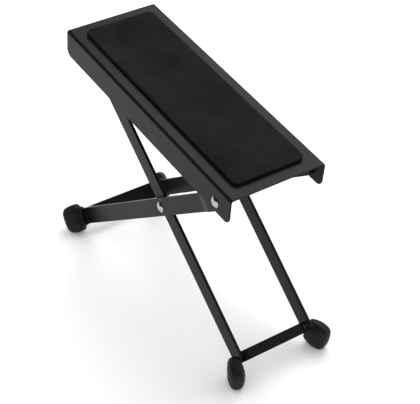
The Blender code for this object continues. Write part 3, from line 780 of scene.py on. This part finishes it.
def boot_form(boots, sections):
    """A boot lofted in facets from its mouth to its tip along +X, wide along Z, round the origin."""
    work = bmesh.new()
    rings = []
    corners = [turn * QUARTER + a for turn in range(4) for a in BOOT_CORNERS]
    for place, width, thickness in sections:
        ring = []
        for a in corners:
            y = math.copysign(abs(math.cos(a)) ** (2 / BOOT_SQUARENESS), math.cos(a))
            z = math.copysign(abs(math.sin(a)) ** (2 / BOOT_SQUARENESS), math.sin(a))
            ring.append(work.verts.new((boots.length * (place - 0.5), boots.thickness / 2 * thickness * y,
                                        boots.width / 2 * width * z)))
        rings.append(ring)
    for ring, following in zip(rings, rings[1:]):
        for i in range(len(corners)):
            j = (i + 1) % len(corners)
            work.faces.new((ring[i], ring[j], following[j], following[i]))
    work.faces.new(rings[0])
    work.faces.new(rings[-1])
    return finished(work, "boot")


def box_mesh(low, high):
    """A cutter with square corners."""
    outline = [(low[0], low[1]), (high[0], low[1]), (high[0], high[1]), (low[0], high[1])]
    mesh = prism(outline, high[2] - low[2])
    mesh.transform(Matrix.Translation((0, 0, (low[2] + high[2]) / 2)))
    return mesh


class FOOTREST_OT_boots(bpy.types.Operator):
    """Mould the four boots, with a pocket for the bar's foot and a flat sole on the floor"""

    bl_idname = "footrest.boots"
    bl_label = "Boots"

    def execute(self, context):
        bars = context.scene.footrest_bars
        boots = context.scene.footrest_boots
        tilt = math.atan2((rod - crossing).z, (crossing - rod).x)
        for side in (NEAR, FAR):
            path = foot_path(bars.leg_straight / 2, leg_middle(bars), bars.leg_straight, bars.bend_radius,
                             bars.leg_splay, bars.leg_foot)
            spot = Matrix.Translation((path[-1][0], side * path[-1][1], -boots.front_drop))
            spot = spot @ Matrix.Rotation(-tilt, 4, "Y") @ Matrix.Rotation(side * boots.front_turn, 4, "Z")
            spot = spot @ Matrix.Rotation(boots.front_dip, 4, "Y")
            run(path, bars.foot_end + boots.fit)
            foot = [(x, side * y) for x, y in strip_outline(path, bars.leg_thickness + 2 * boots.fit)]
            self.mould(boots, FRONT_BOOT_SECTIONS, "front_boot_" + SIDE_NAMES[side], leg_place, spot,
                       "leg_frame", prism(foot, bars.leg_width + 2 * boots.fit))
            path = foot_path(bars.arm_straight / 2, arm_middle(bars), bars.arm_straight, bars.bend_radius,
                             bars.arm_splay, bars.arm_foot)
            spot = Matrix.Translation((-path[-1][0], side * path[-1][1], boots.rear_rise))
            spot = spot @ Matrix.Rotation(math.pi - side * bars.arm_splay, 4, "Z")
            run(path, bars.foot_end + boots.fit)
            foot = [(-x, side * y) for x, y in strip_outline(path, bars.arm_thickness + 2 * boots.fit)]
            self.mould(boots, REAR_BOOT_SECTIONS, "rear_boot_" + SIDE_NAMES[side], arm_place, spot,
                       "arm_frame", prism(foot, bars.arm_width + 2 * boots.fit))
        return {"FINISHED"}

    def mould(self, boots, sections, node, place, spot, body, pocket):
        """Make one boot in its body's frame, with its pocket and its sole cut."""
        form = boot_form(boots, sections)
        form.transform(spot)
        ground = box_mesh((-THROUGH, -THROUGH, -THROUGH), (THROUGH, THROUGH, 0))
        ground.transform(place.inverted())
        mesh = shaped(form, edge_radius=boots.edge_radius, edge_angle=FACET_ANGLE,
                      late_cuts=[("DIFFERENCE", pocket), ("DIFFERENCE", ground)])
        place_piece(node + "_moulding", mesh, place, body, ready(moulded_boot_rubber), "boot_rubber", node)


def pair_tree():
    """A node tree that puts one pattern on both sides of the footrest, facing outwards."""
    tree = bpy.data.node_groups.new("pair_across_the_footrest", "GeometryNodeTree")
    face = tree.interface
    face.new_socket("Geometry", in_out="INPUT", socket_type="NodeSocketGeometry")
    face.new_socket("Pattern", in_out="INPUT", socket_type="NodeSocketObject")
    distance = face.new_socket("Distance", in_out="INPUT", socket_type="NodeSocketFloat")
    distance.subtype = "DISTANCE"
    face.new_socket("Finish", in_out="INPUT", socket_type="NodeSocketMaterial")
    face.new_socket("Geometry", in_out="OUTPUT", socket_type="NodeSocketGeometry")
    given = add_node(tree, "NodeGroupInput", {})
    pattern = add_node(tree, "GeometryNodeObjectInfo", {}, {"Object": given.outputs["Pattern"]})
    back = add_node(tree, "ShaderNodeMath", {"operation": "MULTIPLY", 1: -1.0},
                    {0: given.outputs["Distance"]})
    start = add_node(tree, "ShaderNodeCombineXYZ", {}, {"Y": back.outputs[0]})
    end = add_node(tree, "ShaderNodeCombineXYZ", {}, {"Y": given.outputs["Distance"]})
    line = add_node(tree, "GeometryNodeMeshLine", {"mode": "END_POINTS", "Count": 2},
                    {"Start Location": start.outputs[0], "Offset": end.outputs[0]})
    order = add_node(tree, "GeometryNodeInputIndex", {})
    # The pattern faces +Z: the near one turns by a quarter about X, and the far one by a quarter back
    lean = add_node(tree, "ShaderNodeMapRange", {"From Max": 1.0, "To Min": QUARTER, "To Max": -QUARTER},
                    {"Value": order.outputs[0]})
    turn = add_node(tree, "ShaderNodeCombineXYZ", {}, {"X": lean.outputs["Result"]})
    spread = add_node(tree, "GeometryNodeInstanceOnPoints", {},
                      {"Points": line.outputs["Mesh"], "Instance": pattern.outputs["Geometry"],
                       "Rotation": turn.outputs[0]})
    solid = add_node(tree, "GeometryNodeRealizeInstances", {}, {"Geometry": spread.outputs["Instances"]})
    dressed = add_node(tree, "GeometryNodeSetMaterial", {},
                       {"Geometry": solid.outputs["Geometry"], "Material": given.outputs["Finish"]})
    add_node(tree, "NodeGroupOutput", {}, {"Geometry": dressed.outputs["Geometry"]})
    return tree


def pair_mesh(pattern_mesh, distance, finish):
    """Both copies of a pattern as one plain mesh."""
    tree = bpy.data.node_groups.get("pair_across_the_footrest") or pair_tree()
    pattern = in_scene("pattern", pattern_mesh)
    carrier = in_scene("carrier", bpy.data.meshes.new("carrier"))
    modifier = carrier.modifiers.new("Pair", "NODES")
    modifier.node_group = tree
    inputs = {item.name: item.identifier for item in tree.interface.items_tree if item.in_out == "INPUT"}
    modifier[inputs["Pattern"]] = pattern
    modifier[inputs["Distance"]] = distance
    modifier[inputs["Finish"]] = finish
    mesh = evaluated(carrier, (carrier, pattern))
    smooth(mesh)
    return mesh


def rivet_profile(sizes, grip):
    """Half of a rivet: a domed head on the outer face, and a closed end past the grip."""
    dome = (sizes.head_radius ** 2 + sizes.head_height ** 2) / (2 * sizes.head_height)
    widest = math.asin(min(1, sizes.head_radius / dome))
    profile = [(0, FIT + sizes.head_height)]
    for i in range(1, DOME_STEPS + 1):
        a = widest * i / DOME_STEPS
        profile.append((dome * math.sin(a), FIT + sizes.head_height - dome * (1 - math.cos(a))))
    tail = -grip - FIT
    profile += [
        (sizes.shank, FIT),
        (sizes.shank, tail),
        (sizes.tail_radius, tail),
        (sizes.tail_radius, tail - RIVET_TAIL_SHARE * sizes.tail_height),
        (sizes.shank, tail - sizes.tail_height),
        (0, tail - sizes.tail_height),
    ]
    return profile


class FOOTREST_OT_rivets(bpy.types.Operator):
    """Turn the domed rivets and put a pair at the crossing and a pair at the pivot"""

    bl_idname = "footrest.rivets"
    bl_label = "Rivets"

    def execute(self, context):
        sizes = context.scene.footrest_fasteners
        bars = context.scene.footrest_bars
        zinc = ready(bright_zinc_plate)
        grip = arm_high.y - (leg_high.y - bars.leg_thickness)
        mesh = pair_mesh(turned(rivet_profile(sizes, grip), False), arm_high.y, zinc)
        place_piece("crossing_rivets", mesh, arm_place, "arm_frame", zinc, "bright_zinc",
                    "crossing_rivet_near", "crossing_rivet_far")
        inner = arm_high.y + bars.joggle - bars.arm_thickness
        mesh = pair_mesh(turned(rivet_profile(sizes, plate_high.y - inner), False), plate_high.y, zinc)
        place_piece("pivot_rivets", mesh, platform_place, "platform", zinc, "bright_zinc",
                    "pivot_rivet_near", "pivot_rivet_far")
        return {"FINISHED"}


class FOOTREST_OT_washers(bpy.types.Operator):
    """Put a pair of nylon washers at the crossing and a pair at the pivot"""

    bl_idname = "footrest.washers"
    bl_label = "Washers"

    def execute(self, context):
        sizes = context.scene.footrest_fasteners
        bars = context.scene.footrest_bars
        nylon = ready(black_nylon)
        for name, body, place, outer, thickness in (
            ("crossing", "arm_frame", arm_place, arm_high.y - bars.arm_thickness, sizes.crossing_washer),
            ("pivot", "platform", platform_place, plate_high.y - context.scene.footrest_platform.sheet,
             sizes.pivot_washer),
        ):
            hole = sizes.shank + FIT
            profile = [(sizes.washer_radius, -FIT), (sizes.washer_radius, -FIT - thickness),
                       (hole, -FIT - thickness), (hole, -FIT)]
            mesh = pair_mesh(turned(profile, True), outer, nylon)
            place_piece(name + "_washers", mesh, place, body, nylon, "washer_plastic",
                        name + "_washer_near", name + "_washer_far")
        return {"FINISHED"}


class FOOTREST_OT_hidden_steel(bpy.types.Operator):
    """Finish the rod and the two notched racks under the platform"""

    bl_idname = "footrest.hidden_steel"
    bl_label = "Rod and racks"

    def execute(self, context):
        sizes = context.scene.footrest_fasteners
        bars = context.scene.footrest_bars
        shoulder = leg_high.y - bars.leg_thickness - FIT
        neck = leg_high.y + FIT
        end = neck + sizes.rod_head_height
        half = [(0, end), (sizes.rod_head_radius, end), (sizes.rod_head_radius, neck), (sizes.rod_neck, neck)]
        half += [(sizes.rod_neck, shoulder), (sizes.rod_radius, shoulder)]
        profile = half + [(radius, -height) for radius, height in reversed(half)]
        mesh = turned(profile, False)
        mesh.transform(Matrix.Translation((-bars.leg_upper, 0, 0)) @ UPRIGHT)
        smooth(mesh)
        place_piece("rod_between_legs", mesh, leg_place, "leg_frame", ready(bright_zinc_plate), "bright_zinc",
                    "latch_rod")
        for side in (NEAR, FAR):
            node = frame["nodes"]["rack_" + SIDE_NAMES[side]]
            for slot in node.material_slots:
                slot.link = "OBJECT"
                slot.material = ready(satin_black_powder_paint)
        return {"FINISHED"}


class FOOTREST_OT_stage(bpy.types.Operator):
    """Lay the white floor, hang the soft box and set the camera"""

    bl_idname = "footrest.stage"
    bl_label = "Stage"

    def execute(self, context):
        scene = context.scene
        self.lay_floor()
        self.light(scene)
        self.aim_camera(scene)
        scene.view_settings.view_transform = "Standard"
        return {"FINISHED"}

    def lay_floor(self):
        """A wide white sheet just under the soles."""
        outline = arc((0, 0), FLOOR_RADIUS, 0, 2 * math.pi)[:-1]
        mesh = prism(outline, FLOOR_THICKNESS)
        mesh.transform(Matrix.Translation((0, 0, -FLOOR_DROP - FLOOR_THICKNESS / 2)))
        mesh.materials.append(ready(white_studio_floor))
        floor = in_scene("studio_floor", mesh)

    def light(self, scene):
        """A wide soft box behind and to the left, and a room that is white low down and dim above."""
        world = bpy.data.worlds.new("studio_room")
        scene.world = world
        world.use_nodes = True
        tree = world.node_tree
        background = tree.nodes["Background"]
        look = add_node(tree, "ShaderNodeTexCoord", {}).outputs["Generated"]
        facing = add_node(tree, "ShaderNodeSeparateXYZ", {}, {"Vector": look}).outputs
        # White up to where a level camera sees, and a dim room above, lighter towards the back
        room, lift = [
            add_node(tree, "ShaderNodeMapRange",
                     {"From Min": near, "From Max": far, "To Min": first, "To Max": last},
                     {"Value": facing["Y"]}).outputs["Result"]
            for (near, far), (first, last) in ((ROOM_DEPTHS, ROOM_LEVELS), (FRONT_DEPTHS, FRONT_LIFTS))
        ]
        height = add_node(tree, "ShaderNodeMath", {"operation": "ADD"}, {0: facing["Z"], 1: lift})
        rise = add_node(tree, "ShaderNodeMapRange", {"From Min": WHITE_FADES[0], "From Max": WHITE_FADES[1]},
                        {"Value": height.outputs[0]})
        seen = add_node(tree, "ShaderNodeMix", {"data_type": "FLOAT", 2: 1.0},
                        {0: rise.outputs["Result"], 3: room})
        rays = add_node(tree, "ShaderNodeLightPath", {}).outputs
        mirror = add_node(tree, "ShaderNodeMath", {"operation": "MAXIMUM"},
                          {0: rays["Is Glossy Ray"], 1: rays["Is Transmission Ray"]})
        shown = add_node(tree, "ShaderNodeMath", {"operation": "MAXIMUM"},
                         {0: rays["Is Camera Ray"], 1: mirror.outputs[0]})
        level = add_node(tree, "ShaderNodeMix", {"data_type": "FLOAT", 2: ROOM_LIGHT},
                         {0: shown.outputs[0], 3: seen.outputs[0]})
        background.inputs["Color"].default_value = (1, 1, 1, 1)
        tree.links.new(level.outputs[0], background.inputs["Strength"])
        lamp = bpy.data.lights.new("overhead_soft_box", "AREA")
        lamp.shape = "RECTANGLE"
        lamp.size, lamp.size_y = SOFT_BOX_SIZE
        lamp.energy = SOFT_BOX_POWER
        holder = in_scene("overhead_soft_box", lamp)
        holder.location = SOFT_BOX_PLACE
        holder.rotation_mode = "QUATERNION"
        holder.rotation_quaternion = (-SOFT_BOX_PLACE).to_track_quat("-Z", "Y")

    def aim_camera(self, scene):
        """The photograph's view, measured from the platform's pivot."""
        level = math.cos(VIEW_RISE)
        back = Vector((math.sin(VIEW_TURN) * level, -math.cos(VIEW_TURN) * level, math.sin(VIEW_RISE)))
        right = Vector((0, 0, 1)).cross(back).normalized()
        up = back.cross(right)
        level_right = right * math.cos(VIEW_ROLL) + up * math.sin(VIEW_ROLL)
        level_up = up * math.cos(VIEW_ROLL) - right * math.sin(VIEW_ROLL)
        camera = bpy.data.cameras.new("photograph_view")
        camera.sensor_width = VIEW_SENSOR
        camera.lens = VIEW_LENS
        camera.clip_start, camera.clip_end = VIEW_CLIP
        holder = in_scene("photograph_view", camera)
        placing = Matrix((level_right, level_up, back)).transposed().to_4x4()
        placing.translation = pivot + VIEW_FROM_PIVOT
        holder.matrix_world = placing
        scene.camera = holder


OPERATORS = (
    FOOTREST_OT_platform,
    FOOTREST_OT_mat,
    FOOTREST_OT_legs,
    FOOTREST_OT_arms,
    FOOTREST_OT_crossbars,
    FOOTREST_OT_boots,
    FOOTREST_OT_rivets,
    FOOTREST_OT_washers,
    FOOTREST_OT_hidden_steel,
    FOOTREST_OT_stage,
)


class FOOTREST_PT_panel(bpy.types.Panel):
    """Buttons and sizes of the footrest"""

    bl_idname = "FOOTREST_PT_panel"
    bl_label = "Guitar Footrest"
    bl_space_type = "VIEW_3D"
    bl_region_type = "UI"
    bl_category = "Footrest"

    def draw(self, context):
        column = self.layout.column(align=True)
        for operator in OPERATORS:
            column.operator(operator.bl_idname)
        for name, group in PROPERTY_GROUPS.items():
            box = self.layout.box()
            box.label(text=name.split("_")[1].title())
            for item in group.__annotations__:
                box.prop(getattr(context.scene, name), item)


def register():
    for group in PROPERTY_GROUPS.values():
        bpy.utils.register_class(group)
    for name, group in PROPERTY_GROUPS.items():
        setattr(bpy.types.Scene, name, PointerProperty(type=group))
    for operator in OPERATORS:
        bpy.utils.register_class(operator)
    bpy.utils.register_class(FOOTREST_PT_panel)


def unregister():
    bpy.utils.unregister_class(FOOTREST_PT_panel)
    for operator in reversed(OPERATORS):
        bpy.utils.unregister_class(operator)
    for name, group in PROPERTY_GROUPS.items():
        delattr(bpy.types.Scene, name)
        bpy.utils.unregister_class(group)


def main():
    register()
    for operator in OPERATORS:
        group, name = operator.bl_idname.split(".")
        getattr(getattr(bpy.ops, group), name)()


if __name__ == "__main__":
    main()
